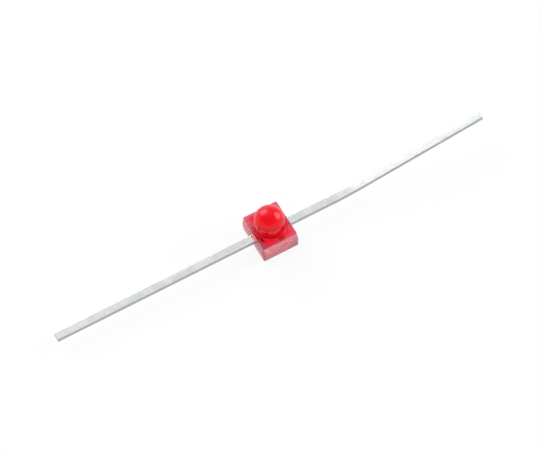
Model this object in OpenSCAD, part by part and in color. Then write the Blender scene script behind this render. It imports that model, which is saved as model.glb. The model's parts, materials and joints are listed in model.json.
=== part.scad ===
// Subminiature through hole lamp with axial strap leads.
// One tinted epoxy moulding, a square drafted base with a bullet lens on it,
// is cast round a two-piece lead frame that carries the chip and its bond wire.
// +X runs along the leads, +Z up through the lens.
// The origin is at the middle of the underside of the base.

/* [Base] */
// Length of the base at the parting line, measured along the leads
base_len = 2.10; // [1.74:0.01:2.60]
// Width of the base at the parting line, measured across the leads
base_wid = 2.36; // [1.90:0.01:2.90]
// Height of the base from its underside to the shoulder round the lens
base_h = 1.12; // [0.92:0.01:1.40]
// Height of the parting line, which is also the underside of the bare leads
parting_h = 0.50; // [0.40:0.01:0.62]
// Draft of the walls above the parting line, in degrees from upright
upper_draft = 6; // [1:0.5:9]
// Draft of the walls below the parting line, in degrees from upright
lower_draft = 3.5; // [1:0.5:9]
// Radius of the upright corners at the parting line, which the draft thins
corner_r = 0.14; // [0.12:0.01:0.30]
// Rounding of the shoulder edge and of the bottom edge
edge_r = 0.03; // [0.01:0.005:0.04]

/* [Lens] */
// Radius of the lens, of its round wall and of its dome
lens_r = 0.82; // [0.60:0.01:0.92]
// Height of the round wall under the dome
lens_wall_h = 0.50; // [0.35:0.01:0.80]
// Fillet where the lens stands on the shoulder
lens_foot_r = 0.06; // [0.01:0.005:0.10]

/* [Leads] */
// Width of the lead strap over its plating
lead_w = 0.48; // [0.36:0.01:0.60]
// Thickness of the lead strap over its plating
lead_t = 0.20; // [0.16:0.01:0.25]
// Thickness of the tin plate that coats the leads outside the base
plate_t = 0.008; // [0.004:0.001:0.012]
// Reach of each lead from the middle of the base, measured along the strap
lead_reach = 12.5; // [6:0.1:16]
// Rounding of the strap's long edges under the plating
strap_edge_r = 0.03; // [0.01:0.005:0.06]
// Distance from the middle of the base to the start of the anode lead's bend
bend_start = 3.5; // [1.5:0.1:5]
// Radius of the anode lead's bend, at the middle of the strap
bend_radius = 14.5; // [2:0.5:20]
// Angle that the anode lead is bent up by, in degrees
bend_angle = 7.2; // [1:0.1:12]

/* [Lead frame inside the base] */
// Radius of the round chip pad
pad_r = 0.42; // [0.38:0.01:0.50]
// Gap between the chip pad and the end of the anode lead
post_gap = 0.15; // [0.08:0.01:0.20]
// Span of the ears that lock the cathode lead in the epoxy
ear_span = 1.04; // [0.70:0.01:1.30]
// Span of the smaller ears on the anode lead's bonding post
post_span = 0.72; // [0.62:0.01:1.10]
// Length of the ears along the lead
ear_len = 0.18; // [0.10:0.01:0.20]
// Width of the support tab that ties the chip pad to the frame's rail
tab_w = 0.28; // [0.16:0.01:0.32]
// Place of the support tab along the leads
tab_x = 0.25; // [0.12:0.01:0.26]
// How far the cropped support tab stands out of the base
tab_proud = 0.04; // [0.01:0.01:0.25]
// Radius of the flat floor of the reflector dish
dish_floor_r = 0.23; // [0.20:0.01:0.28]
// Radius of the rim of the reflector dish
dish_rim_r = 0.33; // [0.29:0.01:0.36]
// Depth of the reflector dish
dish_depth = 0.10; // [0.06:0.01:0.12]

/* [Chip] */
// Side of the square chip
chip_w = 0.24; // [0.18:0.01:0.28]
// Height of the chip
chip_h = 0.22; // [0.15:0.01:0.30]
// Height of the sloped mesa round the top of the chip
mesa_h = 0.05; // [0.02:0.01:0.08]
// How far the mesa's slope takes in each side of the chip
mesa_in = 0.02; // [0.01:0.005:0.03]
// Radius of the contact on top of the chip
contact_r = 0.055; // [0.045:0.005:0.07]
// Thickness of the contact on top of the chip
contact_t = 0.004; // [0.002:0.001:0.008]
// Thickness of the silver epoxy under the chip
glue_t = 0.02; // [0.01:0.005:0.03]
// Height that the silver epoxy climbs up the chip's sides, from the dish floor
glue_climb = 0.05; // [0.04:0.005:0.07]
// Width of the collar of silver epoxy at its foot, beyond the chip's corners
glue_collar = 0.04; // [0.02:0.005:0.06]
// Width of the collar at its top, beyond the chip's corners
glue_lip = 0.01; // [0.005:0.005:0.02]

/* [Bond wire] */
// Diameter of the gold wire
wire_d = 0.025; // [0.018:0.001:0.040]
// Radius of the squashed ball on the contact
ball_r = 0.042; // [0.035:0.001:0.045]
// Height of the squashed ball
ball_h = 0.024; // [0.016:0.001:0.030]
// Height of the loop's control points above the chip and above the anode lead
loop_rise = 0.34; // [0.20:0.01:0.45]
// Distance from the stitch back to the loop's outer control point
loop_lean = 0.15; // [0.05:0.01:0.25]
// Distance from the end of the anode lead to the stitch
stitch_in = 0.09; // [0.07:0.01:0.14]
// Length of the flattened stitch
stitch_len = 0.06; // [0.03:0.005:0.08]

/* [Hidden] */
$fn = 64;

// Facets in a quarter turn of an edge rounding, sides of the wire and stations along its loop
EDGE_STEPS = 3;
WIRE_SIDES = 8;
LOOP_STEPS = 22;
// How far a cutting shape runs past the face that it opens
OVERCUT = 0.05;
// Flattening of the wire at its stitch, as shares of the wire's radius
STITCH_WIDEN = 1.8;
STITCH_THIN = 0.4;

half_len = base_len / 2;
half_wid = base_wid / 2;
bare_w = lead_w - 2 * plate_t;
bare_t = lead_t - 2 * plate_t;
lead_mid = parting_h + bare_t / 2;
lead_top = parting_h + bare_t;
dish_floor = lead_top - dish_depth;
chip_foot = dish_floor + glue_t;
chip_top = chip_foot + chip_h;
contact_top = chip_top + contact_t;
post_end = pad_r + post_gap;
stitch_x = post_end + stitch_in;
strap_joint = post_end + ear_len / 2;
shoulder_inset = (base_h - parting_h) * tan(upper_draft);
flat_half_len = half_len - shoulder_inset - edge_r;
foot_r = max(0, min(lens_foot_r, flat_half_len - lens_r));
wire_r = wire_d / 2;

// Inset of the wall from the parting line's outline, at a height
function wall_inset(z) = z > parting_h
    ? (z - parting_h) * tan(upper_draft)
    : (parting_h - z) * tan(lower_draft);

// Quarter round between a drafted wall and a flat, as [inset, height] points.
// side is 1 for the shoulder and -1 for the bottom edge.
function edge_round(z_mid, draft, side) = [
    for (i = [0 : EDGE_STEPS])
        let (turn = draft + (90 - draft) * i / EDGE_STEPS)
        [
            wall_inset(z_mid) + edge_r / cos(draft) - edge_r * cos(turn),
            z_mid + side * edge_r * sin(turn)
        ]
];

function reversed(list) = [for (i = [len(list) - 1 : -1 : 0]) list[i]];

// The wall from the underside up to the shoulder, as [inset, height] points
wall_line = concat(
    reversed(edge_round(edge_r, lower_draft, -1)),
    [[0, parting_h]],
    edge_round(base_h - edge_r, upper_draft, 1)
);

// Section through the base, with the wall line on both sides
function base_section(half) = concat(
    [for (p = wall_line) [half - p[0], p[1]]],
    [for (p = reversed(wall_line)) [p[0] - half, p[1]]]
);

// Drafted base: two crossed extrusions of the wall line, with a turned post in each corner
module base() {
    core_len = base_len - 2 * corner_r;
    core_wid = base_wid - 2 * corner_r;
    rotate([90, 0, 0])
        linear_extrude(height = core_wid, center = true)
            polygon(base_section(half_len));
    rotate([90, 0, 90])
        linear_extrude(height = core_len, center = true)
            polygon(base_section(half_wid));
    for (x = [-core_len / 2, core_len / 2], y = [-core_wid / 2, core_wid / 2])
        translate([x, y, 0])
            rotate_extrude()
                polygon(concat(
                    [[0, 0]],
                    [for (p = wall_line) [corner_r - p[0], p[1]]],
                    [[0, base_h]]
                ));
}

// Bullet lens: a round wall under a dome, filleted where it meets the shoulder
module lens() {
    translate([0, 0, lead_top])
        cylinder(h = base_h + lens_wall_h - lead_top, r = lens_r);
    translate([0, 0, base_h + lens_wall_h])
        sphere(r = lens_r);
    if (foot_r > 0)
        translate([0, 0, base_h])
            rotate_extrude()
                difference() {
                    translate([lens_r - foot_r, -foot_r])
                        square([2 * foot_r, 2 * foot_r]);
                    translate([lens_r + foot_r, foot_r])
                        circle(r = foot_r);
                }
}

// Cross-section of the strap under a coat, width along X and thickness along Y, edges rounded
module strap_section(coat) {
    x_mid = bare_w / 2 - strap_edge_r;
    y_mid = bare_t / 2 - strap_edge_r;
    edge = strap_edge_r + coat;
    polygon([
        for (quarter = [0 : 3], i = [0 : EDGE_STEPS])
            let (
                turn = 90 * (quarter + i / EDGE_STEPS),
                x_side = quarter == 0 || quarter == 3 ? 1 : -1,
                y_side = quarter < 2 ? 1 : -1
            )
            [
                x_side * x_mid + edge * cos(turn),
                y_side * y_mid + edge * sin(turn)
            ]
    ]);
}

// Straight length of strap that starts at the origin and runs along +X
module strap(length, coat) {
    rotate([90, 0, 90])
        linear_extrude(height = length)
            strap_section(coat);
}

// Straight strap from inside the base to a reach: bare up to the wall, and plated outside it
module lead_out(reach) {
    translate([strap_joint, 0, lead_mid])
        strap(half_len + OVERCUT - strap_joint, 0);
    difference() {
        translate([half_len - OVERCUT, 0, lead_mid])
            strap(reach - half_len + OVERCUT, plate_t);
        base();
    }
}

// Length of plated strap bent upwards about an axis along Y, starting level at the origin
module bent_strap(radius, angle) {
    translate([0, 0, radius])
        rotate([90, 90, 0])
            rotate_extrude(angle = angle)
                translate([radius, 0])
                    rotate([0, 0, 90])
                        strap_section(plate_t);
}

// Flat blank of the frame inside the epoxy, from its plan outline
module blank() {
    translate([0, 0, parting_h])
        linear_extrude(height = bare_t)
            children();
}

// Locking ears and the root of a strap, on the +X side
module ears(span) {
    translate([post_end, -span / 2])
        square([ear_len, span]);
}

// Turned hollow that the coining punch leaves in the chip pad
module dish() {
    slope = (dish_rim_r - dish_floor_r) / dish_depth;
    rotate_extrude()
        polygon([
            [0, dish_floor],
            [dish_floor_r, dish_floor],
            [dish_rim_r + slope * OVERCUT, lead_top + OVERCUT],
            [0, lead_top + OVERCUT]
        ]);
}

// Square block whose four sides lean in evenly from foot to head
module tapered_block(foot, head, height) {
    outline = [
        [-foot / 2, 0], [foot / 2, 0],
        [head / 2, height], [-head / 2, height]
    ];
    intersection() {
        rotate([90, 0, 0])
            linear_extrude(height = foot, center = true)
                polygon(outline);
        rotate([90, 0, 90])
            linear_extrude(height = foot, center = true)
                polygon(outline);
    }
}

// Point on the wire's loop: a cubic curve from the ball to the stitch
function loop_point(t) =
    let (
        from = [0, contact_top + ball_h / 2],
        up = [0, chip_top + loop_rise],
        over = [stitch_x - loop_lean, lead_top + loop_rise],
        to = [stitch_x, lead_top + wire_r]
    )
    pow(1 - t, 3) * from
    + 3 * pow(1 - t, 2) * t * up
    + 3 * (1 - t) * pow(t, 2) * over
    + pow(t, 3) * to;

// One ring round the wire: place in the XZ plane, heading, half width and half height
function wire_ring(place, heading, wide, high) = [
    for (i = [0 : WIRE_SIDES - 1])
        let (turn = (i + 0.5) * 360 / WIRE_SIDES, lift = high * sin(turn))
        [
            place[0] - lift * sin(heading),
            wide * cos(turn),
            place[1] + lift * cos(heading)
        ]
];

function heading_at(t) =
    let (step = 0.001, d = loop_point(min(1, t + step)) - loop_point(max(0, t - step)))
    atan2(d[1], d[0]);

// Height of a flattened wire's middle when its lowest facet lies on the lead
function resting(high) = lead_top + high * cos(180 / WIRE_SIDES);

// Wire swept as one closed skin: the loop, then the stitch pressed flat on the lead
module swept_wire() {
    flat_high = wire_r * STITCH_THIN;
    flat_wide = wire_r * STITCH_WIDEN;
    rings = concat(
        [for (i = [0 : LOOP_STEPS - 1]) let (t = i / LOOP_STEPS)
            wire_ring(loop_point(t), heading_at(t), wire_r, wire_r)],
        [
            wire_ring([stitch_x, resting(wire_r)], 0, wire_r, wire_r),
            wire_ring([stitch_x + stitch_len / 2, resting(flat_high)], 0, flat_wide, flat_high),
            wire_ring([stitch_x + stitch_len, resting(flat_high)], 0, flat_wide, flat_high)
        ]
    );
    last = len(rings) - 1;
    skin = [
        for (k = [0 : last - 1], i = [0 : WIRE_SIDES - 1])
            let (
                j = (i + 1) % WIRE_SIDES,
                a = k * WIRE_SIDES + i,
                b = k * WIRE_SIDES + j,
                c = a + WIRE_SIDES,
                d = b + WIRE_SIDES
            )
            each [[a, b, d], [a, d, c]]
    ];
    first_cap = [for (i = [0 : WIRE_SIDES - 1]) WIRE_SIDES - 1 - i];
    last_cap = [for (i = [0 : WIRE_SIDES - 1]) last * WIRE_SIDES + i];
    polyhedron(
        points = [for (ring = rings, p = ring) p],
        faces = concat(skin, [first_cap, last_cap])
    );
}

// The epoxy moulding, with the frame, chip and wire cast into it
module lens_body() {
    color([0.90, 0.06, 0.10])
        difference() {
            union() {
                base();
                lens();
            }
            cathode_lead();
            anode_lead();
            die_attach();
            led_die();
            bond_wire();
        }
}

// Straight lead with the chip pad, its reflector dish and the cropped support tab
module cathode_lead() {
    tab_reach = half_wid + tab_proud;
    color([0.82, 0.83, 0.82])
        difference() {
            union() {
                mirror([1, 0, 0])
                    lead_out(lead_reach);
                blank() {
                    translate([-strap_joint, -bare_w / 2])
                        square([strap_joint, bare_w]);
                    mirror([1, 0])
                        ears(ear_span);
                    circle(r = pad_r);
                    translate([tab_x - tab_w / 2, -tab_reach])
                        square([tab_w, tab_reach]);
                }
            }
            dish();
        }
}

// Lead whose end is the bonding post, bent up a little outside the base
module anode_lead() {
    bent_len = bend_radius * bend_angle * PI / 180;
    color([0.82, 0.83, 0.82]) {
        blank() {
            translate([post_end, -bare_w / 2])
                square([strap_joint - post_end, bare_w]);
            ears(post_span);
        }
        lead_out(bend_start);
        translate([bend_start, 0, lead_mid]) {
            bent_strap(bend_radius, bend_angle);
            translate([0, 0, bend_radius])
                rotate([0, -bend_angle, 0])
                    translate([0, 0, -bend_radius])
                        strap(lead_reach - bend_start - bent_len, plate_t);
        }
    }
}

// Chip with its sloped mesa and round top contact
module led_die() {
    color([0.35, 0.33, 0.36]) {
        translate([-chip_w / 2, -chip_w / 2, chip_foot])
            cube([chip_w, chip_w, chip_h - mesa_h]);
        translate([0, 0, chip_top - mesa_h])
            tapered_block(chip_w, chip_w - 2 * mesa_in, mesa_h);
        translate([0, 0, chip_top])
            cylinder(h = contact_t, r = contact_r);
    }
}

// Silver epoxy that holds the chip: a film under it and a collar round it, kept in by the dish
module die_attach() {
    corner = chip_w / sqrt(2);
    color([0.70, 0.70, 0.72])
        difference() {
            intersection() {
                translate([0, 0, dish_floor])
                    cylinder(h = glue_climb, r1 = corner + glue_collar, r2 = corner + glue_lip);
                dish();
            }
            translate([-chip_w / 2, -chip_w / 2, chip_foot])
                cube([chip_w, chip_w, chip_h]);
        }
}

// Gold wire, ball bonded to the chip and stitched to the post
module bond_wire() {
    color([0.95, 0.78, 0.35]) {
        translate([0, 0, contact_top])
            intersection() {
                translate([0, 0, ball_h / 2])
                    sphere(r = ball_r);
                cylinder(h = ball_h, r = 2 * ball_r);
            }
        swept_wire();
    }
}

lens_body();
cathode_lead();
anode_lead();
led_die();
die_attach();
bond_wire();
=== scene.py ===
# %% [markdown]
# # A subminiature through hole lamp
# The lamp is one small block of red tinted epoxy with a bullet lens on top. Two flat straps
# leave its opposite sides, and one of them is bent up a little. Inside sit a chip in a coined
# dish and a gold wire thinner than a hair. The imported model gives every place and size, so it
# is loaded first, and its box is kept.

# %% Load the imported model
import json
import math

import bmesh
import bpy
from mathutils import Matrix, Vector


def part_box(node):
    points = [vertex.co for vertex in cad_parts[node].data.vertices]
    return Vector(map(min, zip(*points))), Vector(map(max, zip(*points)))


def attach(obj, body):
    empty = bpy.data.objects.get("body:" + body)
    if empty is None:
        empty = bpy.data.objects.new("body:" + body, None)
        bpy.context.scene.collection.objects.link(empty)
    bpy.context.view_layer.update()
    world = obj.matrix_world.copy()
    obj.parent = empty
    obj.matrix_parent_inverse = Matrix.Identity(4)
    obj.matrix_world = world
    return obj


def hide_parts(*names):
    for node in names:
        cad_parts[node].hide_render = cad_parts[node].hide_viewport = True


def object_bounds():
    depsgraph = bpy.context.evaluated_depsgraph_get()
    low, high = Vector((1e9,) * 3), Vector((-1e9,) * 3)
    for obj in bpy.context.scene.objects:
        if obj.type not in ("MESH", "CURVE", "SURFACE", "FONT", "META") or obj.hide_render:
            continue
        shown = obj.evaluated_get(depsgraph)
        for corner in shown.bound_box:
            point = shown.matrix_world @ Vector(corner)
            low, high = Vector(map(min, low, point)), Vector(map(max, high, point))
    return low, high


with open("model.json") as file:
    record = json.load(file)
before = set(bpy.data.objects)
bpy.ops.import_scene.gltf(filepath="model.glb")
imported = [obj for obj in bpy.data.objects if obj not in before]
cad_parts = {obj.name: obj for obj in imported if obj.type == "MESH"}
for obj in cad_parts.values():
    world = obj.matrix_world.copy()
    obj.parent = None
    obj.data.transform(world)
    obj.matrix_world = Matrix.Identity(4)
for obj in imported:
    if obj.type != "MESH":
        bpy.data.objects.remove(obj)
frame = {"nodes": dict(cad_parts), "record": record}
cad_low, cad_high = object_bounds()
mounts = {mount["name"]: mount for mount in frame["record"]["mounts"]}
print("nodes:", sorted(frame["nodes"]))
print("box in mm:", [round((h - l) * 1000, 3) for l, h in zip(cad_low, cad_high)])

# %% [markdown]
# ## Sizes
# Modelling is easier in millimetres, because a bmesh operator merges or skips steps that are
# very small. Each piece is built in millimetres and scaled to metres when it is finished.
# The places come from the boxes of the CAD nodes and from the mounts, and the few sizes that
# no box shows are written here once.

# %% Sizes in millimetres
MM = 0.001


def box_mm(node):
    """Lowest and highest corner of a CAD node, in millimetres."""
    low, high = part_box(node)
    return low / MM, high / MM


body_high = box_mm("lens_body")[1]
strap_low, strap_high = box_mm("cathode_lead")
wire_low, wire_high = box_mm("bond_wire")
chip_low, chip_high = box_mm("led_die")

half_len = body_high.x
half_wid = body_high.y
lens_r = mounts["lens"]["dims"]["r_mm"]
lens_top = body_high.z
plating = 0.008
parting_h = strap_low.z + plating
strap_mid = (strap_low.z + strap_high.z) / 2
shoulder_h = 1.12
wall_top = lens_top - lens_r
corner_r = 0.14
edge_r = 0.03
foot_r = 0.06
upper_draft = math.radians(6)
lower_draft = math.radians(3.5)
print("base", round(2 * half_len, 2), "x", round(2 * half_wid, 2), "lens radius", lens_r)

# %% [markdown]
# ## The camera
# A lamp this small is shown from far away through a long lens, which keeps its edges
# almost parallel. The camera looks down at it steeply, from a little left of its front, and
# is rolled by a few degrees. It is made first, so that each later cell can be looked at.

# %% The camera
AZIMUTH = math.radians(-23.78)
ELEVATION = math.radians(59.37)
ROLL = math.radians(5.79)
DISTANCE = 0.5
VIEW_WIDTH = 27.725 * MM
SENSOR = 36


def view_axes(azimuth, elevation, roll):
    """Right, up and back of a camera that looks down at the object."""
    level = Vector((math.cos(azimuth), math.sin(azimuth), 0))
    flat = math.cos(elevation)
    back = Vector((math.sin(azimuth) * flat, -math.cos(azimuth) * flat, math.sin(elevation)))
    rise = back.cross(level)
    right = level * math.cos(roll) - rise * math.sin(roll)
    up = level * math.sin(roll) + rise * math.cos(roll)
    return right, up, back


right, up, back = view_axes(AZIMUTH, ELEVATION, ROLL)
aim = Vector((0.043, 0.069, 1.025)) * MM
camera_data = bpy.data.cameras.new("camera")
camera_data.sensor_width = SENSOR
camera_data.lens = SENSOR * DISTANCE / VIEW_WIDTH
camera_data.clip_start = 0.01
camera_data.clip_end = 5
camera = bpy.data.objects.new("camera", camera_data)
turn = Matrix((right, up, back)).transposed().to_4x4()
camera.matrix_world = Matrix.Translation(aim + back * DISTANCE) @ turn
bpy.context.scene.collection.objects.link(camera)
bpy.context.scene.camera = camera
bpy.context.scene.view_settings.view_transform = "Standard"
print("lens", round(camera_data.lens), "mm at", DISTANCE, "m")

# %% [markdown]
# ## Shader maths as Python
# A finish is easier to read as an expression than as a web of nodes. The class below wraps a
# socket, so that `wear * 0.2 + 0.1` adds its Math nodes, and `Finish.node` makes any other
# node from its type, its settings and the values of its sockets.

# %% Wires and finishes


class Wire:
    """An output socket that can be used in a Python expression."""

    def __init__(self, finish, socket):
        self.finish = finish
        self.socket = socket

    def math(self, operation, first, second):
        settings = {"operation": operation}
        return self.finish.node("ShaderNodeMath", settings, {0: first, 1: second})[0]

    def __add__(self, other):
        return self.math("ADD", self, other)

    def __rsub__(self, other):
        return self.math("SUBTRACT", other, self)

    def __mul__(self, other):
        return self.math("MULTIPLY", self, other)

    def __pow__(self, other):
        return self.math("POWER", self, other)

    __radd__ = __add__

    def above(self, low, high):
        """0 below low, 1 above high, and smooth between them."""
        settings = {"interpolation_type": "SMOOTHSTEP"}
        sockets = {"Value": self, "From Min": low, "From Max": high}
        return self.finish.node("ShaderNodeMapRange", settings, sockets)["Result"]


class Made:
    """A new node, whose outputs are read by name or number as wires."""

    def __init__(self, finish, node):
        self.finish = finish
        self.node = node

    def __getitem__(self, key):
        return Wire(self.finish, self.node.outputs[key])


class Finish:
    """A procedural material."""

    def __init__(self, name, tree=None):
        self.material = None
        if tree is None:
            self.material = bpy.data.materials.new(name)
            self.material.use_nodes = True
            tree = self.material.node_tree
        self.tree = tree
        self.tree.nodes.clear()

    def node(self, kind, settings=None, sockets=None):
        made = self.tree.nodes.new(kind)
        for key, value in (settings or {}).items():
            setattr(made, key, value)
        for key, value in (sockets or {}).items():
            if isinstance(value, Wire):
                self.tree.links.new(value.socket, made.inputs[key])
            else:
                made.inputs[key].default_value = value
        return Made(self, made)

    def place(self, stretch=(1, 1, 1)):
        """The point on the object in millimetres, squeezed along each axis by stretch."""
        point = self.node("ShaderNodeTexCoord")["Object"]
        scale = [factor / MM for factor in stretch]
        return self.node("ShaderNodeMapping", {}, {"Vector": point, "Scale": scale})["Vector"]

    def noise(self, scale, detail=2, stretch=(1, 1, 1), roughness=0.5):
        """Noise with this many features to a millimetre."""
        sockets = {"Vector": self.place(stretch), "Scale": scale}
        sockets.update({"Detail": detail, "Roughness": roughness})
        return self.node("ShaderNodeTexNoise", {}, sockets)["Fac"]

    def blend(self, factor, first, second):
        """A colour between two colours, which are wires or triples."""
        ends = [c if isinstance(c, Wire) else (*c, 1) for c in (first, second)]
        settings = {"data_type": "RGBA"}
        return self.node("ShaderNodeMix", settings, {0: factor, 6: ends[0], 7: ends[1]})[2]

    def bump(self, height, depth, normal=None):
        """A normal bent by a height that runs from 0 to 1, depth millimetres deep."""
        sockets = {"Height": height, "Distance": depth * MM, "Strength": 1.0}
        if normal is not None:
            sockets["Normal"] = normal
        return self.node("ShaderNodeBump", {}, sockets)["Normal"]

    def surface(self, sockets, volume=None):
        """Ends the material with one principled shader, and a volume if there is one."""
        shader = self.node("ShaderNodeBsdfPrincipled", {}, sockets)["BSDF"]
        ends = {"Surface": shader}
        if volume is not None:
            ends["Volume"] = volume
        self.node("ShaderNodeOutputMaterial", {}, ends)
        return self.material


print("finishes can be written as expressions")

# %% [markdown]
# ## Red epoxy
# The moulding is clear epoxy with a red dye, so its colour comes from depth: light that
# crosses a thin edge stays pink, and light that crosses the whole block comes out deep red.
# A plain red surface can't do that. The shader is a clear dielectric, and a volume takes away
# green and blue along the way. The lens comes from a polished part of the mould. The
# drafted walls come from a spark eroded part and have been dragged out of it, so they are
# finely grained and wear a pale streaky bloom, which is a rough coat over the clear shader.
# Below the parting line the walls are painted darker, which is painted shade. Round its rim
# the shoulder is painted darker, which is painted shade, most at the cathode end, and it is
# painted paler along the back, which is painted light.
#
# Real epoxy has one tint and an index of about 1.53. The tones by place, the lower index and
# the strong coat are set for the look, so they may need another look in other light.

# %% Red epoxy
DYE = {"Color": (0.999, 0.02, 0.3, 1), "Density": 2000}
RIM_ALONG = (0.62, 0.95)
RIM_ACROSS = (0.85, 1.1)
END_WALL = (half_len - 0.1, half_len - 0.06)


def red_epoxy():
    finish = Finish("red_epoxy")
    point = finish.node("ShaderNodeSeparateXYZ", {}, {0: finish.place()})
    radius = (point["X"] ** 2 + point["Y"] ** 2) ** 0.5
    on_wall = 1 - point["Z"].above(shoulder_h - 2 * edge_r, shoulder_h - edge_r)
    on_lens = (1 - radius.above(lens_r + foot_r, lens_r + 2 * foot_r)) * (1 - on_wall)
    grain = finish.noise(38, detail=3, stretch=(1, 1, 0.22), roughness=0.6)
    ripple = finish.noise(1.6, detail=1)
    rough = 0.19 - on_wall * 0.13 + on_wall * grain * 0.12
    low_wall = 1 - point["Z"].above(parting_h - 0.02, parting_h + 0.06)
    underside = 1 - point["Z"].above(0, edge_r)
    streaks = finish.noise(10, detail=3, stretch=(1, 1, 0.45), roughness=0.65).above(0.3, 0.72)
    high_tone = finish.blend(streaks, (1.0, 0.50, 0.85), (1.0, 0.68, 1.0))
    # Painted shade: below the parting line the wall is painted darker than above it.
    low_wall_painted_shade = finish.blend(streaks, (0.46, 0.24, 0.48), (0.72, 0.42, 0.72))
    wall_tone = finish.blend(low_wall, high_tone, low_wall_painted_shade)
    wall_tone = finish.blend(underside, wall_tone, (1.0, 0.6, 0.8))
    width = finish.node("ShaderNodeMath", {"operation": "ABSOLUTE"}, {0: point["Y"]})[0]
    length = finish.node("ShaderNodeMath", {"operation": "ABSOLUTE"}, {0: point["X"]})[0]
    end_wall = length.above(*END_WALL)
    rim = 1 - (1 - length.above(*RIM_ALONG)) * (1 - width.above(*RIM_ACROSS))
    # Painted shade and painted light round the shoulder's rim: darkest at the cathode end, paler
    # towards the anode end, and palest along the back.
    rim_painted_light_and_shade = finish.blend(point["X"].above(-1, 1), (0.24, 0.18, 0.25), (0.85, 0.45, 0.50))
    rim_painted_light_and_shade = finish.blend(point["Y"].above(-0.1, 1.0), rim_painted_light_and_shade, (0.80, 0.95, 1.00))
    top_tone = finish.blend(rim * (1 - on_lens), (1.0, 0.03, 0.045), rim_painted_light_and_shade)
    tone = finish.blend(on_wall, top_tone, wall_tone)
    on_edge = 1 - point["Z"].above(shoulder_h - 0.5 * edge_r, shoulder_h)
    coat = on_edge * (streaks * 0.35 + 0.62) * (1 - low_wall * 0.35)
    coat = coat * (1 - end_wall * on_wall * 0.8)
    coat = coat * (1 - underside)
    grained = finish.bump(grain * on_wall, 0.0015)
    gentle = finish.bump(ripple, 0.006, grained)
    volume = finish.node("ShaderNodeVolumeAbsorption", {}, DYE)["Volume"]
    return finish.surface(
        {
            "Base Color": tone,
            "Roughness": rough,
            "IOR": 1.46,
            "Specular Tint": (1.0, 0.58, 0.8, 1),
            "Transmission Weight": 0.91,
            "Coat Weight": coat,
            "Coat Roughness": 0.5,
            "Coat IOR": 2.8,
            "Normal": gentle,
        },
        volume,
    )


EPOXY = red_epoxy()
print("made", EPOXY.name)

# %% [markdown]
# ## Plated strap
# The straps are sheared from rolled strip and dipped in tin. Rolling leaves faint lines along
# the strip, tin sets in soft mottles, and the sheared sides are rougher than the rolled faces.
# The sides are also painted darker, which is painted shade.

# %% Plated strap
EAR_FROM = (0.6, 0.66)
EAR_SQUARED = (0.05, 0.08)


def plated_strap():
    finish = Finish("plated_strap")
    lines = finish.noise(9, detail=3, stretch=(0.12, 3, 3), roughness=0.6)
    mottle = finish.noise(2.4, detail=4, stretch=(0.6, 1, 1), roughness=0.62)
    specks = finish.noise(9, detail=2).above(0.62, 0.72)
    face = finish.node("ShaderNodeNewGeometry")["Normal"]
    side = finish.node("ShaderNodeSeparateXYZ", {}, {0: face})["Z"]
    upright = finish.node("ShaderNodeMath", {"operation": "ABSOLUTE"}, {0: side})[0]
    sheared = 1 - upright.above(0.35, 0.75)
    tone = finish.blend(mottle.above(0.35, 0.65), (0.68, 0.71, 0.70), (0.75, 0.775, 0.765))
    tone = finish.blend(specks * 0.25, tone, (0.58, 0.60, 0.58))
    # Painted shade: faces that stand upright are painted darker. They are also rougher, as sheared
    # sides are.
    tone = finish.blend(sheared * 0.75, tone, (0.36, 0.37, 0.36))
    rough = 0.2 + mottle * 0.08 + sheared * 0.25
    rolled = finish.bump(lines, 0.0012)
    dipped = finish.bump(mottle, 0.004, rolled)
    return finish.surface(
        {"Base Color": tone, "Metallic": 1.0, "Roughness": rough, "Normal": dipped}
    )


def silver_flash():
    """Spot silver, put only where the chip and wire go. The bare ears are painted shade, near
    black.
    """
    finish = Finish("silver_flash")
    bloom = finish.noise(14, detail=3)
    point = finish.node("ShaderNodeSeparateXYZ", {}, {0: finish.place()})
    bare = (0 - point["X"]).above(*EAR_FROM) * (point["Y"] ** 2).above(*EAR_SQUARED)
    tone = finish.blend(bloom, (0.97, 0.96, 0.93), (0.90, 0.89, 0.86))
    # Painted shade: the bare ears are painted far darker than bare copper.
    tone = finish.blend(bare, tone, (0.24, 0.09, 0.08))
    return finish.surface(
        {
            "Base Color": tone,
            "Metallic": 1 - bare * 0.4,
            "Roughness": 0.3 + bloom * 0.15 + bare * 0.15,
            "Normal": finish.bump(bloom, 0.002),
        }
    )


def sheared_side():
    """The sheared sides of the lead frame, bare copper alloy that the oven cure has browned."""
    finish = Finish("sheared_side")
    drag = finish.noise(24, detail=3, stretch=(1, 1, 0.2))
    tone = finish.blend(drag, (0.62, 0.38, 0.32), (0.80, 0.54, 0.46))
    return finish.surface(
        {
            "Base Color": tone,
            "Metallic": 0.6,
            "Roughness": 0.5 + drag * 0.2,
            "Normal": finish.bump(drag, 0.003),
        }
    )


PLATE = plated_strap()
SILVER = silver_flash()
SHEARED = sheared_side()
print("made", PLATE.name, SILVER.name, SHEARED.name)

# %% [markdown]
# ## Bare copper
# The lead frame is cropped off its rail after plating, so the cropped end of the support tab shows
# the copper alloy. Shearing drags it, which leaves a bright burnished band and a torn one.

# %% Bare copper


def bare_copper():
    finish = Finish("bare_copper")
    drag = finish.noise(30, detail=3, stretch=(1, 1, 0.15), roughness=0.65)
    height = finish.node("ShaderNodeSeparateXYZ", {}, {0: finish.place()})["Z"]
    torn = 1 - (height + drag * 0.05).above(strap_mid - 0.02, strap_mid + 0.04)
    tone = finish.blend(torn * 0.6 + drag * 0.3, (0.86, 0.24, 0.25), (0.60, 0.17, 0.17))
    rough = 0.28 + torn * 0.25
    return finish.surface(
        {
            "Base Color": tone,
            "Metallic": 1.0,
            "Roughness": rough,
            "Normal": finish.bump(drag, 0.003),
        }
    )


COPPER = bare_copper()
print("made", COPPER.name)

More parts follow.
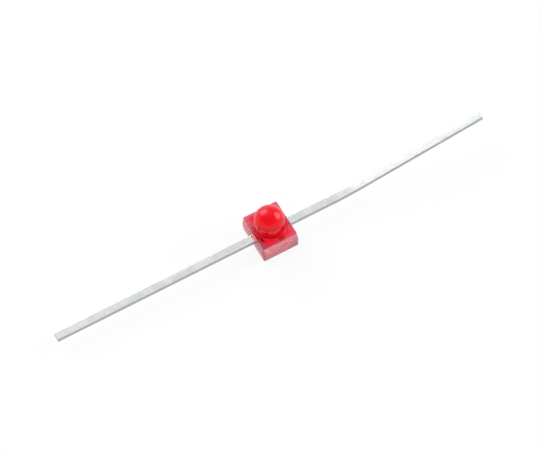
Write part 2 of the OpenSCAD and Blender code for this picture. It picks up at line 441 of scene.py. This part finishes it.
# %% [markdown]
# ## Chip, paste and gold
# Behind the lens lie three finishes that a close look finds: the sawn semiconductor with its
# gold contact, the paste full of silver flakes that holds it, and the drawn gold wire.

# %% Chip, paste and gold


def sawn_chip():
    finish = Finish("sawn_chip")
    saw = finish.noise(60, detail=2, stretch=(1, 1, 0.1))
    tone = finish.blend(saw, (0.78, 0.56, 0.46), (0.90, 0.70, 0.58))
    return finish.surface(
        {
            "Base Color": tone,
            "Metallic": 0.4,
            "Roughness": 0.3 + saw * 0.3,
            "Normal": finish.bump(saw, 0.002),
        }
    )


def silver_paste():
    finish = Finish("silver_paste")
    cells = {"Vector": finish.place(), "Scale": 90}
    flakes = finish.node("ShaderNodeTexVoronoi", {}, cells)["Distance"]
    tone = finish.blend(flakes, (0.78, 0.78, 0.79), (0.45, 0.45, 0.47))
    return finish.surface(
        {
            "Base Color": tone,
            "Metallic": 0.8,
            "Roughness": 0.42 + flakes * 0.3,
            "Normal": finish.bump(flakes, 0.003),
        }
    )


def drawn_gold():
    finish = Finish("drawn_gold")
    draw = finish.noise(120, detail=2)
    tone = finish.blend(draw, (0.98, 0.72, 0.30), (0.90, 0.62, 0.24))
    return finish.surface(
        {"Base Color": tone, "Metallic": 1.0, "Roughness": 0.16 + draw * 0.12}
    )


CHIP = sawn_chip()
PASTE = silver_paste()
GOLD = drawn_gold()
print("made", CHIP.name, PASTE.name, GOLD.name)

# %% [markdown]
# ## Finishing a piece
# Every piece ends in the same way. Doubles are merged and the faces turned outwards, the mesh
# is scaled to metres, and at each corner the larger face counts for more in the shading, so
# that the flat faces stay flat beside their rounded edges. This matters most on a clear
# block, where a bent normal bends all that is behind it. It is worked out here, because the
# modifier that does it gives up on faces as small as these.

# %% Finishing a piece
MERGED_WITHIN = 1e-5


def smooth_fan(loop):
    """The faces that share a corner's shading: those met round its point before a sharp edge."""
    fan = {loop.face}
    for edge in (loop.edge, loop.link_loop_prev.edge):
        face = loop.face
        while edge.smooth and len(edge.link_faces) == 2:
            face = next(f for f in edge.link_faces if f is not face)
            if face in fan:
                break
            fan.add(face)
            edge = next(e for e in face.edges if e is not edge and loop.vert in e.verts)
    return fan


def put(shape, name, finishes, replaced, crease=35):
    """Turns a bmesh in millimetres into a finished piece that stands for CAD nodes."""
    bmesh.ops.remove_doubles(shape, verts=shape.verts, dist=MERGED_WITHIN)
    bmesh.ops.recalc_face_normals(shape, faces=shape.faces)
    for face in shape.faces:
        face.smooth = True
    for edge in shape.edges:
        if edge.is_manifold and edge.calc_face_angle() > math.radians(crease):
            edge.smooth = False
    open_edges = sum(not edge.is_manifold for edge in shape.edges)
    weights = {face: face.normal * face.calc_area() for face in shape.faces}
    shading = [
        sum((weights[f] for f in smooth_fan(loop)), Vector()).normalized()
        for face in shape.faces
        for loop in face.loops
    ]
    bmesh.ops.scale(shape, vec=(MM, MM, MM), verts=shape.verts)
    mesh = bpy.data.meshes.new(name)
    shape.to_mesh(mesh)
    shape.free()
    mesh.normals_split_custom_set(shading)
    for finish in finishes:
        mesh.materials.append(finish)
    piece = bpy.data.objects.new(name, mesh)
    bpy.context.scene.collection.objects.link(piece)
    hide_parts(*replaced)
    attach(piece, "root")
    print(name, "faces", len(mesh.polygons), "open edges", open_edges)


# %% [markdown]
# ## The epoxy moulding
# The base and the lens are one shot of epoxy. The two mould halves meet at the underside of
# the straps, and from that parting line both walls lean in. Each wall is an inset of the
# parting outline that also rises, so the upright corners get tighter as a tapered cutter
# makes them. The lens is a profile spun about the axis, and the shoulder is filled between
# the two outlines, so the whole moulding is one closed skin. It is solid through, although the
# lead frame, the chip and the wire lie inside it. The CAD moulding has room cut for them.

# %% Outline at the parting line
CORNER_STEPS = 8


def close_to(value, target, room=1e-4):
    return abs(value - target) < room


moulding = bmesh.new()
bmesh.ops.create_grid(moulding, x_segments=1, y_segments=1, size=1)
bmesh.ops.scale(moulding, vec=(half_len, half_wid, 1), verts=moulding.verts)
bmesh.ops.translate(moulding, vec=(0, 0, parting_h), verts=moulding.verts)
bmesh.ops.bevel(
    moulding,
    geom=list(moulding.verts),
    offset=corner_r,
    offset_type="OFFSET",
    segments=CORNER_STEPS,
    profile=0.5,
    affect="VERTICES",
    material=-1,
)
print("outline corners", len(moulding.verts))

# %% Drafted walls
EDGE_STEPS = 5


def rounding(draft):
    """Steps of a quarter round from a drafted wall to a flat, as (inwards, along) moves."""
    turns = [draft + (math.pi / 2 - draft) * i / EDGE_STEPS for i in range(EDGE_STEPS + 1)]
    pairs = zip(turns, turns[1:])
    return [
        (edge_r * (math.cos(a) - math.cos(b)), edge_r * (math.sin(b) - math.sin(a)))
        for a, b in pairs
    ]


def raise_wall(shape, cap, height, draft):
    """Insets the cap up a leaning wall of this height, and round its far edge."""
    straight = height - edge_r + edge_r * math.sin(draft)
    for inwards, along in [(straight * math.tan(draft), straight), *rounding(draft)]:
        bmesh.ops.inset_region(
            shape,
            faces=[cap],
            thickness=inwards,
            depth=along,
            use_boundary=True,
            use_even_offset=True,
        )


top_cap = moulding.faces[:][0]
raise_wall(moulding, top_cap, shoulder_h - parting_h, upper_draft)
outline = [e for e in moulding.edges if e.is_boundary]
bottom_cap = bmesh.ops.contextual_create(moulding, geom=outline)["faces"][0]
bottom_cap.normal_update()
if bottom_cap.normal.z > 0:
    bottom_cap.normal_flip()
raise_wall(moulding, bottom_cap, parting_h, lower_draft)
shoulder_ring = list(top_cap.edges)
bmesh.ops.delete(moulding, geom=[top_cap], context="FACES_ONLY")
print("walls run from", round(min(v.co.z for v in moulding.verts), 3), "to", shoulder_h)

# %% Bullet lens
FOOT_STEPS = 6
DOME_STEPS = 28
ROUND_STEPS = 96


def spin_point(shape, point, centre, degrees, steps):
    """Draws an arc in the XZ plane from a vertex, and gives back its last vertex."""
    spun = bmesh.ops.spin(
        shape,
        geom=[point],
        cent=centre,
        axis=(0, -1, 0),
        angle=math.radians(degrees),
        steps=steps,
        use_duplicate=False,
    )
    return [item for item in spun["geom_last"] if isinstance(item, bmesh.types.BMVert)][0]


before = set(moulding.verts)
foot = bmesh.ops.create_vert(moulding, co=(lens_r + foot_r, 0, shoulder_h))["vert"][0]
fillet_centre = (lens_r + foot_r, 0, shoulder_h + foot_r)
fillet_end = spin_point(moulding, foot, fillet_centre, -90, FOOT_STEPS)
rise = bmesh.ops.extrude_vert_indiv(moulding, verts=[fillet_end])["verts"]
bmesh.ops.translate(moulding, vec=(0, 0, wall_top - fillet_end.co.z), verts=rise)
spin_point(moulding, rise[0], (0, 0, wall_top), 90, DOME_STEPS)
profile = [v for v in moulding.verts if v not in before]
profile_edges = [e for e in moulding.edges if all(v in profile for v in e.verts)]
bmesh.ops.spin(
    moulding,
    geom=profile + profile_edges,
    cent=(0, 0, 0),
    axis=(0, 0, 1),
    angle=2 * math.pi,
    steps=ROUND_STEPS,
    use_merge=True,
)
lens_verts = [v for v in moulding.verts if v not in before]
bmesh.ops.remove_doubles(moulding, verts=lens_verts, dist=1e-4)
print("lens top at", round(max(v.co.z for v in moulding.verts), 3))

# %% Shoulder round the lens
foot_ring = [
    e
    for e in moulding.edges
    if e.is_boundary and all(close_to(v.co.xy.length, lens_r + foot_r) for v in e.verts)
]
bmesh.ops.triangle_fill(moulding, edges=shoulder_ring + foot_ring, use_beauty=True)
for edge in moulding.edges:
    if all(close_to(v.co.z, parting_h) for v in edge.verts):
        edge.smooth = False
print("shoulder edges", len(shoulder_ring), "foot edges", len(foot_ring))
put(moulding, "epoxy_moulding", [EPOXY], ["lens_body"])

# %% [markdown]
# ## The straps
# Each lead is one stamping: a lead frame inside the epoxy and the long strap outside. The lead
# frame is taken from the CAD node, cut off just outside the wall, and the strap is drawn out
# again from the cut, because a strap that is drawn as one loop bends smoothly where the CAD
# mesh has only a few facets.

# %% Frame parts of the leads
CUT = half_len + 0.02
WALL_LEAN = 0.03
REACH = 12.5
BEND_START = 3.5
BEND_RADIUS = 14.5
BEND_ANGLE = math.radians(7.2)
STRAIGHT_STEPS = 24
LEVEL_STEPS = 6
BEND_STEPS = 14
RISING_STEPS = 14
CROPPED_IN = 0.012
UPRIGHT = 0.3
LEAD_FINISHES = [PLATE, SILVER, SHEARED, COPPER]
SILVER_SLOT = 1
SHEARED_SLOT = 2
COPPER_SLOT = 3


def frame_part(node, side):
    """The part of a lead inside the epoxy, open where its strap begins."""
    shape = bmesh.new()
    shape.from_mesh(frame["nodes"][node].data)
    bmesh.ops.scale(shape, vec=(1 / MM,) * 3, verts=shape.verts)
    bmesh.ops.remove_doubles(shape, verts=shape.verts, dist=1e-4)
    bmesh.ops.dissolve_limit(
        shape, angle_limit=math.radians(0.5), verts=shape.verts, edges=shape.edges
    )
    everything = shape.verts[:] + shape.edges[:] + shape.faces[:]
    bmesh.ops.bisect_plane(
        shape, geom=everything, plane_co=(side * CUT, 0, 0), plane_no=(side, 0, 0), clear_outer=True
    )
    for face in shape.faces:
        middle = face.calc_center_median()
        if abs(middle.x) < half_len - WALL_LEAN and abs(middle.y) < half_wid - WALL_LEAN:
            face.material_index = SHEARED_SLOT if abs(face.normal.z) < UPRIGHT else SILVER_SLOT
    ring = [e for e in shape.edges if e.is_boundary]
    print(node, "ring of", len(ring), "edges")
    return shape, ring


def draw_out(shape, ring, move, steps=1):
    """Extrudes an open ring by a move, in equal steps, and gives back the new ring."""
    for _ in range(steps):
        drawn = bmesh.ops.extrude_edge_only(shape, edges=ring)["geom"]
        ring = [item for item in drawn if isinstance(item, bmesh.types.BMEdge)]
        ring = [e for e in ring if e.is_boundary]
        ends = list({v for e in ring for v in e.verts})
        bmesh.ops.translate(shape, vec=Vector(move) / steps, verts=ends)
    return ring


def crop(shape, ring):
    """Closes a ring with a cropped end whose edges are slightly drawn in."""
    made = bmesh.ops.contextual_create(shape, geom=ring)["faces"]
    bmesh.ops.bevel(
        shape,
        geom=list(made[0].edges),
        offset=CROPPED_IN,
        segments=2,
        profile=0.5,
        affect="EDGES",
        material=0,
    )


# %% Cathode lead, straight
cathode, ring = frame_part("cathode_lead", -1)
ring = draw_out(cathode, ring, (-(REACH - CUT), 0, 0), STRAIGHT_STEPS)
crop(cathode, ring)
for face in cathode.faces:
    if close_to(face.calc_center_median().y, strap_low.y, 1e-3):
        face.material_index = COPPER_SLOT
put(cathode, "cathode_strap", LEAD_FINISHES, ["cathode_lead"])

# %% Anode lead, bent
anode, ring = frame_part("anode_lead", 1)
ring = draw_out(anode, ring, (BEND_START - CUT, 0, 0), LEVEL_STEPS)
ring_verts = list({v for e in ring for v in e.verts})
spun = bmesh.ops.spin(
    anode,
    geom=ring + ring_verts,
    cent=(BEND_START, 0, strap_mid + BEND_RADIUS),
    axis=(0, -1, 0),
    angle=BEND_ANGLE,
    steps=BEND_STEPS,
    use_duplicate=False,
)
ring = [item for item in spun["geom_last"] if isinstance(item, bmesh.types.BMEdge)]
rest = REACH - BEND_START - BEND_RADIUS * BEND_ANGLE
away = Vector((math.cos(BEND_ANGLE), 0, math.sin(BEND_ANGLE))) * rest
ring = draw_out(anode, ring, away, RISING_STEPS)
crop(anode, ring)
put(anode, "anode_strap", LEAD_FINISHES, ["anode_lead"])

# %% [markdown]
# ## The chip
# The chip is sawn out of a wafer, and a wet etch has sloped the rim round its top. Its round
# gold contact is only a few thousandths of a millimetre thick. A cube gets the sloped rim as
# an inset that rises, and a hair of bevel, because even a saw cut catches a line of light.

# %% Chip and contact
MESA_HEIGHT = 0.05
MESA_INSET = 0.02
CONTACT_RADIUS = 0.055
CONTACT_THICKNESS = 0.004
CHIP_EDGE = 0.003
GOLD_ON_CHIP = 1

chip_mid = (chip_low + chip_high) / 2
chip_side = chip_high.x - chip_low.x
chip_top = chip_high.z - CONTACT_THICKNESS
straight = chip_top - MESA_HEIGHT - chip_low.z
chip = bmesh.new()
bmesh.ops.create_cube(chip, size=1)
bmesh.ops.scale(chip, vec=(chip_side, chip_side, straight), verts=chip.verts)
bmesh.ops.translate(
    chip, vec=(chip_mid.x, chip_mid.y, chip_low.z + straight / 2), verts=chip.verts
)
roof = max(chip.faces, key=lambda face: face.calc_center_median().z)
bmesh.ops.inset_region(
    chip, faces=[roof], thickness=MESA_INSET, depth=MESA_HEIGHT, use_even_offset=True
)
bmesh.ops.bevel(
    chip,
    geom=list(chip.edges),
    offset=CHIP_EDGE,
    segments=2,
    profile=0.5,
    affect="EDGES",
    material=-1,
)
contact = bmesh.ops.create_cone(
    chip,
    cap_ends=True,
    segments=40,
    radius1=CONTACT_RADIUS,
    radius2=CONTACT_RADIUS,
    depth=CONTACT_THICKNESS,
)["verts"]
bmesh.ops.translate(
    chip, vec=(chip_mid.x, chip_mid.y, chip_top + CONTACT_THICKNESS / 2), verts=contact
)
for face in {face for vert in contact for face in vert.link_faces}:
    face.material_index = GOLD_ON_CHIP
put(chip, "chip", [CHIP, GOLD], ["led_die"])

# %% [markdown]
# ## The bond wire
# The bonding tool melts the end of the wire to a ball and squashes it on the contact, pays
# the wire out in a loop, and presses it flat on the post. The ball is a short bevelled
# cylinder. The wire is one ring that is extruded, turned and moved from station to station
# along the loop, and the last rings are flattened for the stitch.

# %% Squashed ball
WIRE_RADIUS = 0.0125
BALL_RADIUS = 0.041
BALL_HEIGHT = 0.024
BALL_EDGE = 0.008
WIRE_SIDES = 16
LOOP_RISE = 0.34
LOOP_LEAN = 0.15
STITCH_LENGTH = 0.06
STITCH_WIDEN = 1.8
STITCH_THIN = 0.4
LEVELLED = 0.003

wire = bmesh.new()
ball = bmesh.ops.create_cone(
    wire, cap_ends=True, segments=32, radius1=BALL_RADIUS, radius2=BALL_RADIUS, depth=BALL_HEIGHT
)["verts"]
bmesh.ops.translate(wire, vec=(0, 0, chip_high.z + BALL_HEIGHT / 2), verts=ball)
rims = [e for e in wire.edges if close_to(e.verts[0].co.z, e.verts[1].co.z)]
bmesh.ops.bevel(
    wire, geom=rims, offset=BALL_EDGE, segments=4, profile=0.5, affect="EDGES", material=-1
)
print("ball faces", len(wire.faces))

# %% Loop and stitch
post_top = wire_low.z
stitch_start = wire_high.x - STITCH_LENGTH
loop_ends = [
    Vector((0, 0, chip_high.z + BALL_HEIGHT / 2)),
    Vector((0, 0, chip_top + LOOP_RISE)),
    Vector((stitch_start - LOOP_LEAN, 0, post_top + LOOP_RISE)),
    Vector((stitch_start, 0, post_top + WIRE_RADIUS)),
]


def on_loop(t):
    """Point on the wire's loop, a cubic curve from the ball to the stitch."""
    shares = ((1 - t) ** 3, 3 * t * (1 - t) ** 2, 3 * t * t * (1 - t), t**3)
    return sum((share * end for share, end in zip(shares, loop_ends)), Vector())


def extrude_ring(shape, edges, shift, turn=0, widen=1, thin=1):
    """Extrudes a ring of the wire, and moves, turns and flattens the new ring."""
    drawn = bmesh.ops.extrude_edge_only(shape, edges=edges)["geom"]
    fresh = [item for item in drawn if isinstance(item, bmesh.types.BMVert)]
    middle = sum((v.co for v in fresh), Vector()) / len(fresh)
    turned = Matrix.Rotation(turn, 3, "Y")
    bmesh.ops.rotate(shape, cent=middle, matrix=turned, verts=fresh)
    bmesh.ops.translate(shape, vec=shift, verts=fresh)
    about = Matrix.Translation(-(middle + Vector(shift)))
    bmesh.ops.scale(shape, vec=(1, widen, thin), space=about, verts=fresh)
    edges = [item for item in drawn if isinstance(item, bmesh.types.BMEdge)]
    return [e for e in edges if all(v in fresh for v in e.verts)]


STATIONS = 48
stations = [on_loop(i / STATIONS) for i in range(STATIONS + 1)]
first = bmesh.ops.create_circle(
    wire, cap_ends=False, segments=WIRE_SIDES, radius=WIRE_RADIUS
)["verts"]
bmesh.ops.translate(wire, vec=stations[0], verts=first)
ring = list({e for v in first for e in v.link_edges})
tilt = 0
for here, there in zip(stations, stations[1:]):
    step = there - here
    heading = math.atan2(step.x, step.z)
    ring = extrude_ring(wire, ring, step, heading - tilt)
    tilt = heading
ring = extrude_ring(wire, ring, (LEVELLED, 0, 0), math.pi / 2 - tilt)
pressed = (STITCH_LENGTH / 2, 0, -WIRE_RADIUS * (1 - STITCH_THIN))
ring = extrude_ring(wire, ring, pressed, widen=STITCH_WIDEN, thin=STITCH_THIN)
ring = extrude_ring(wire, ring, (STITCH_LENGTH / 2 - LEVELLED, 0, 0))
bmesh.ops.contextual_create(wire, geom=ring)
start = [e for e in wire.edges if e.is_boundary]
bmesh.ops.contextual_create(wire, geom=start)
put(wire, "gold_bond_wire", [GOLD], ["bond_wire"], crease=50)
print("wire stands", round(max(s.z for s in stations), 3), "mm high, box says", wire_high.z)

# %% [markdown]
# ## The silver paste
# The paste under the chip keeps its CAD shape: a film with a low collar round it. It only
# gets the finish of cured paste.

# %% Silver paste
paste = frame["nodes"]["die_attach"]
paste.data.materials.clear()
paste.data.materials.append(PASTE)
print("paste faces", len(paste.data.polygons))

# %% [markdown]
# ## Floor, background and lamps
# The lamp lies on plain white and is lit by its surround alone, which is bright along the
# horizon and dimmer overhead. Two small bright panels in it are the two pale patches on the
# dome, and a wide faint one lights the straps. The background is white for the camera and
# through the epoxy, while the floor still shows the soft shadow under the base. Reflections
# see the white floor too. Above it they see the panels and the dimmer sky, which are the light.

# %% Floor
FLOOR_RADIUS = 0.35
FLOOR_GAP = 0.02
WHITE_TO_CAMERA = 0.9
WHITE_INSIDE = 0.86

floor_mesh = bpy.data.meshes.new("floor")
disc = bmesh.new()
bmesh.ops.create_circle(disc, cap_ends=True, segments=96, radius=FLOOR_RADIUS)
bmesh.ops.translate(disc, vec=(0, 0, cad_low.z - FLOOR_GAP * MM), verts=disc.verts)
disc.to_mesh(floor_mesh)
disc.free()
floor = bpy.data.objects.new("floor", floor_mesh)
bpy.context.scene.collection.objects.link(floor)


def seen_directly(finish):
    """How far a ray shows plain white, which is a little less in metal and epoxy."""
    path = finish.node("ShaderNodeLightPath")
    # A ray through the epoxy can count as both kinds, so their sum is held to one.
    inside = path["Is Glossy Ray"] + path["Is Transmission Ray"]
    inside = finish.node("ShaderNodeClamp", {}, {"Value": inside})["Result"]
    seen = path["Is Camera Ray"] * WHITE_TO_CAMERA + inside * WHITE_INSIDE
    return finish.node("ShaderNodeClamp", {}, {"Value": seen})["Result"]


def white_floor():
    finish = Finish("white_floor")
    grain = finish.noise(0.6, detail=2)
    tone = finish.blend(grain, (0.88, 0.88, 0.88), (0.92, 0.92, 0.92))
    matt = finish.node("ShaderNodeBsdfDiffuse", {}, {"Color": tone})["BSDF"]
    glow = finish.node("ShaderNodeEmission", {}, {"Strength": 1.0})["Emission"]
    seen = seen_directly(finish)
    mixed = finish.node("ShaderNodeMixShader", {}, {0: seen, 1: matt, 2: glow})[0]
    clear = finish.node("ShaderNodeBsdfTransparent")["BSDF"]
    below = finish.node("ShaderNodeNewGeometry")["Backfacing"]
    both = finish.node("ShaderNodeMixShader", {}, {0: below, 1: mixed, 2: clear})[0]
    finish.node("ShaderNodeOutputMaterial", {}, {"Surface": both})
    return finish.material


floor_mesh.materials.append(white_floor())
print("floor", round(floor.dimensions.x, 2), "m across")

# %% Surround
SKY_RISES = (0.25, 0.6)
SKY_DIMS = 0.76
# Each panel: the way to it, its half angles from edge to full light, and its brightness
PANELS = [
    ((-0.172, 0.797, 0.578), 26, 14, 4.4),
    ((0.863, -0.163, 0.477), 26, 10, 5.2),
    ((0.10, 0.52, 0.85), 44, 16, 0.6),
]

world = bpy.data.worlds.new("surround")
world.use_nodes = True
bpy.context.scene.world = world
sky = Finish("surround", world.node_tree)
direction = sky.node("ShaderNodeTexCoord")["Generated"]
overhead = sky.node("ShaderNodeSeparateXYZ", {}, {0: direction})["Z"].above(*SKY_RISES)
strength = 1 - overhead * SKY_DIMS
for facing, outer, inner, radiance in PANELS:
    sockets = {0: direction, 1: Vector(facing).normalized()}
    aligned = sky.node("ShaderNodeVectorMath", {"operation": "DOT_PRODUCT"}, sockets)["Value"]
    edges = [math.cos(math.radians(angle)) for angle in (outer, inner)]
    strength = strength + aligned.above(*edges) * radiance
path = sky.node("ShaderNodeLightPath")
seen = path["Is Camera Ray"] + path["Is Transmission Ray"]
seen = sky.node("ShaderNodeClamp", {}, {"Value": seen})["Result"]
strength = strength + seen * (1 - strength)
light = sky.node("ShaderNodeBackground", {}, {"Color": (1, 1, 1, 1), "Strength": strength})
sky.node("ShaderNodeOutputWorld", {}, {"Surface": light["Background"]})
print("panels in the surround:", len(PANELS))
